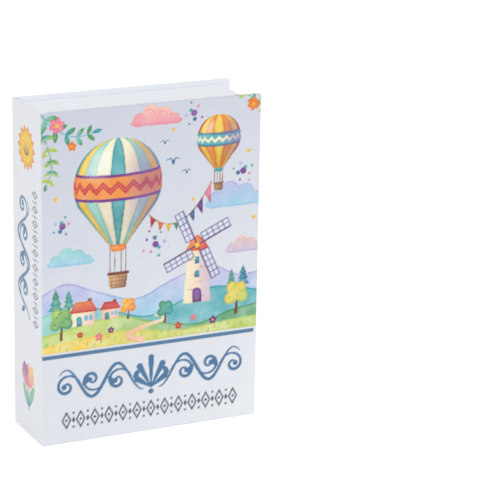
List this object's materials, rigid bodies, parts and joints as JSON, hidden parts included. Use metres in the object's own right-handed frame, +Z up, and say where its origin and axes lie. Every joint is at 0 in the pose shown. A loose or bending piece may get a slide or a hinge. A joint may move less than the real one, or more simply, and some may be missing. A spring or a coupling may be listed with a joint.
{
  "type": "book diversion safe",
  "caption": "Steel box with a hinged, keyed lid, dressed as a hardcover book whose front cover opens; it hides small valuables on a shelf.",
  "frame": {"origin": "middle of the closed book's footprint, level with the tail edges it stands on", "axes": "+Z up the spine to the head, +X from the spine to the fore-edge, -Y out of the front cover"},
  "size_m": [0.128, 0.042, 0.185],
  "materials": {
    "cover_paper": null,
    "endpaper": "plain uncoated paper",
    "greyboard": "raw pressed board",
    "pages": "matte white, fine grooves like page edges",
    "black_paint": "black powder coat with a fine texture",
    "steel": "bright drawn and stamped steel",
    "lock_plating": "bright plated zinc"
  },
  "bodies": {
    "case": {"spine_board": "greyboard", "spine_paper": "cover_paper", "spine_lining": "endpaper", "back_board": "greyboard", "back_cover_paper": "cover_paper", "back_endpaper": "endpaper", "cover_joint": "cover_paper", "page_block": "pages", "page_rivet_1": "steel", "page_rivet_2": "steel", "page_rivet_3": "steel", "page_rivet_4": "steel", "page_rivet_5": "steel", "page_rivet_6": "steel", "steel_box": "black_paint", "strike_channel": "black_paint", "box_hinge_leaf": "black_paint", "hinge_pin": "steel"},
    "front_cover": {"front_board": "greyboard", "front_cover_paper": "cover_paper", "front_endpaper": "endpaper"},
    "lid": {"lid_hinge_leaf": "black_paint", "lid_panel": "black_paint", "lock_body": "lock_plating", "lock_washer": "steel", "lock_nut": "lock_plating"},
    "lock": {"lock_plug": "lock_plating", "lock_cam": "lock_plating", "cam_washer": "steel", "cam_screw": "steel"}
  },
  "joints": [
    {"name": "cover_turn", "type": "hinge", "parent": "case", "child": "front_cover", "pos_m": [-0.061, -0.0213, 0.0925], "axis": [0, 0, -1], "range_deg": [0, 190], "deforming": ["cover_joint"]},
    {"name": "lid_turn", "type": "hinge", "parent": "case", "child": "lid", "pos_m": [-0.05862, -0.01562, 0.0925], "axis": [0, 0, -1], "range_deg": [0, 100]},
    {"name": "lock_turn", "type": "hinge", "parent": "lid", "child": "lock", "pos_m": [0.0375, -0.0107, 0.0925], "axis": [0, 1, 0], "range_deg": [0, 90]}
  ],
  "couplings": [
    {"joint": "lid_turn", "follows": "cover_turn", "ratio": 0.5263}
  ]
}
